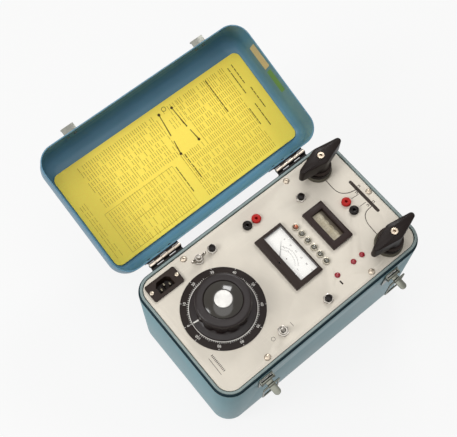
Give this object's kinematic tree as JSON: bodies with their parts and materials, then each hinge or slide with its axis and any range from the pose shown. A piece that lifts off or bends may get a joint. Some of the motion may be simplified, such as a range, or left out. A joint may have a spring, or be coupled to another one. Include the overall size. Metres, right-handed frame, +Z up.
{
  "type": "portable micro-ohmmeter in a hinged transit case",
  "caption": "Bench resistance tester built into a deep aluminium transit case: panel with large dial, pointer meter, display, current terminals and latched hinged lid.",
  "frame": {"origin": "centre of the flat floor of the case, on the surface it stands on", "axes": "+X along the long side towards the current terminals, +Y towards the hinges, +Z up; the lid is stored open"},
  "size_m": [0.356, 0.4538, 0.2543],
  "materials": {
    "case_paint": "smooth blue-grey enamel",
    "lid_paint": "smooth blue enamel",
    "seal_rubber": "matt",
    "panel_paint": "fine satin warm grey",
    "bright_plate": "bright nickel plate",
    "latch_steel": "bright zinc plate",
    "hinge_black": "black satin",
    "rivet_aluminium": "satin",
    "black_plastic": "satin moulded",
    "knob_plastic": "semi-gloss moulded",
    "red_plastic": "moulded",
    "knob_metal": "turned",
    "stud_metal": "nickel plated, turned",
    "contact_brass": "bright",
    "copper": "bare copper",
    "winding_wire": "enamelled wire",
    "core_iron": "varnished laminations",
    "scale_card": "printed",
    "meter_window": "clear",
    "display_glass": "grey liquid crystal",
    "lens_clear": "clear domed",
    "lens_red": "dark red lens",
    "board_green": "solder mask",
    "card_yellow": "printed card",
    "needle_black": "matt"
  },
  "bodies": {
    "case": {"case_base": "case_paint", "rim_frame": "case_paint", "rim_seal": "seal_rubber", "front_panel": "panel_paint", "panel_screws": "bright_plate", "panel_cup_washers": "bright_plate", "hinge_base_leaves": "hinge_black", "pivot_pins": "latch_steel", "base_rivets": "rivet_aluminium", "latch_plates": "latch_steel", "mains_inlet": "black_plastic", "inlet_contacts": "contact_brass", "dial_plate": "black_plastic", "variac_frame": "rivet_aluminium", "variac_core": "core_iron", "variac_winding": "winding_wire", "meter_case": "black_plastic", "meter_scale": "scale_card", "meter_glass": "meter_window", "display_frame": "black_plastic", "display_panel": "display_glass", "range_lamp_bezels": "bright_plate", "range_lamp_lenses": "lens_clear", "indicator_lamps": "lens_red", "black_jacks": "knob_plastic", "red_jacks": "red_plastic", "button_collars": "bright_plate", "ground_stud": "bright_plate", "terminal_insulators": "black_plastic", "terminal_studs": "stud_metal", "under_panel_nuts": "contact_brass", "busbars": "copper", "toggle_body": "bright_plate", "transformer_core": "core_iron", "transformer_coil": "winding_wire", "rectifier_heatsink": "rivet_aluminium", "circuit_board": "board_green", "board_spacers": "contact_brass", "chassis_tray": "rivet_aluminium"},
    "lid": {"lid_shell": "lid_paint", "lid_card": "card_yellow", "hinge_lid_leaves": "hinge_black", "lid_keepers": "bright_plate"},
    "dial": {"dial_knob": "knob_plastic", "knob_cap": "knob_metal", "variac_shaft": "stud_metal"},
    "needle": {"meter_needle": "needle_black"},
    "rear_clamp_ring": {"rear_clamp": "black_plastic"},
    "front_clamp_ring": {"front_clamp": "black_plastic"},
    "rear_knob": {"rear_wing_knob": "knob_plastic"},
    "front_knob": {"front_wing_knob": "knob_plastic"},
    "ground_nut": {"ground_wing_nut": "bright_plate"},
    "mains_toggle": {"toggle_lever": "bright_plate"},
    "reset_key": {"reset_button": "knob_plastic"},
    "fuse_key": {"fuse_button": "knob_plastic"},
    "start_key": {"start_button": "knob_plastic"},
    "left_lever": {"left_latch_lever": "latch_steel"},
    "right_lever": {"right_latch_lever": "latch_steel"},
    "left_bail": {"left_latch_bail": "latch_steel"},
    "right_bail": {"right_latch_bail": "latch_steel"}
  },
  "joints": [
    {"name": "lid_hinge", "type": "hinge", "parent": "case", "child": "lid", "pos_m": [0, 0.1085, 0.1817], "axis": [1, 0, 0], "range_deg": [0, 160.2]},
    {"name": "dial_turn", "type": "hinge", "parent": "case", "child": "dial", "pos_m": [-0.0998, 0, 0.19], "axis": [0, 0, -1], "range_deg": [0, 337.5]},
    {"name": "needle_swing", "type": "hinge", "parent": "case", "child": "needle", "pos_m": [-0.0017, 0, 0.1855], "axis": [0, 0, -1], "range_deg": [0, 90], "stiffness_Nm_per_rad": 0.00002, "springref_deg": -11.46},
    {"name": "rear_knob_turn", "type": "hinge", "parent": "rear_clamp_ring", "child": "rear_knob", "pos_m": [0.1325, 0.0725, 0.215], "axis": [0, 0, 1], "range_deg": [0, 360]},
    {"name": "rear_clamp_lift", "type": "slide", "parent": "case", "child": "rear_clamp_ring", "axis": [0, 0, 1], "range_m": [0, 0.0021]},
    {"name": "front_knob_turn", "type": "hinge", "parent": "front_clamp_ring", "child": "front_knob", "pos_m": [0.1325, -0.0725, 0.215], "axis": [0, 0, 1], "range_deg": [0, 360]},
    {"name": "front_clamp_lift", "type": "slide", "parent": "case", "child": "front_clamp_ring", "axis": [0, 0, 1], "range_m": [0, 0.0021]},
    {"name": "ground_nut_turn", "type": "hinge", "parent": "case", "child": "ground_nut", "pos_m": [-0.0824, 0.0728, 0.19], "axis": [0, 0, 1], "continuous": true},
    {"name": "mains_toggle_tip", "type": "hinge", "parent": "case", "child": "mains_toggle", "pos_m": [-0.059, -0.074, 0.189], "axis": [0, 1, 0], "range_deg": [0, 24]},
    {"name": "reset_press", "type": "slide", "parent": "case", "child": "reset_key", "axis": [0, 0, -1], "range_m": [0, 0.0025], "stiffness_N_per_m": 300, "springref_m": -0.002},
    {"name": "fuse_press", "type": "slide", "parent": "case", "child": "fuse_key", "axis": [0, 0, -1], "range_m": [0, 0.0025], "stiffness_N_per_m": 300, "springref_m": -0.002},
    {"name": "start_press", "type": "slide", "parent": "case", "child": "start_key", "axis": [0, 0, -1], "range_m": [0, 0.0025], "stiffness_N_per_m": 300, "springref_m": -0.002},
    {"name": "left_lever_fold", "type": "hinge", "parent": "case", "child": "left_lever", "pos_m": [-0.113, -0.107, 0.165], "axis": [1, 0, 0], "range_deg": [0, 92]},
    {"name": "left_bail_swing", "type": "hinge", "parent": "left_lever", "child": "left_bail", "pos_m": [-0.113, -0.115, 0.165], "axis": [1, 0, 0], "range_deg": [-271, 0]},
    {"name": "right_lever_fold", "type": "hinge", "parent": "case", "child": "right_lever", "pos_m": [0.113, -0.107, 0.165], "axis": [1, 0, 0], "range_deg": [0, 92]},
    {"name": "right_bail_swing", "type": "hinge", "parent": "right_lever", "child": "right_bail", "pos_m": [0.113, -0.115, 0.165], "axis": [1, 0, 0], "range_deg": [-271, 0]}
  ],
  "couplings": [
    {"joint": "rear_clamp_lift", "follows": "rear_knob_turn", "m_per_rad": 0.000318},
    {"joint": "front_clamp_lift", "follows": "front_knob_turn", "m_per_rad": 0.000318},
    {"joint": "left_bail_swing", "follows": "left_lever_fold", "ratio": -2.9363},
    {"joint": "right_bail_swing", "follows": "right_lever_fold", "ratio": -2.9363}
  ]
}
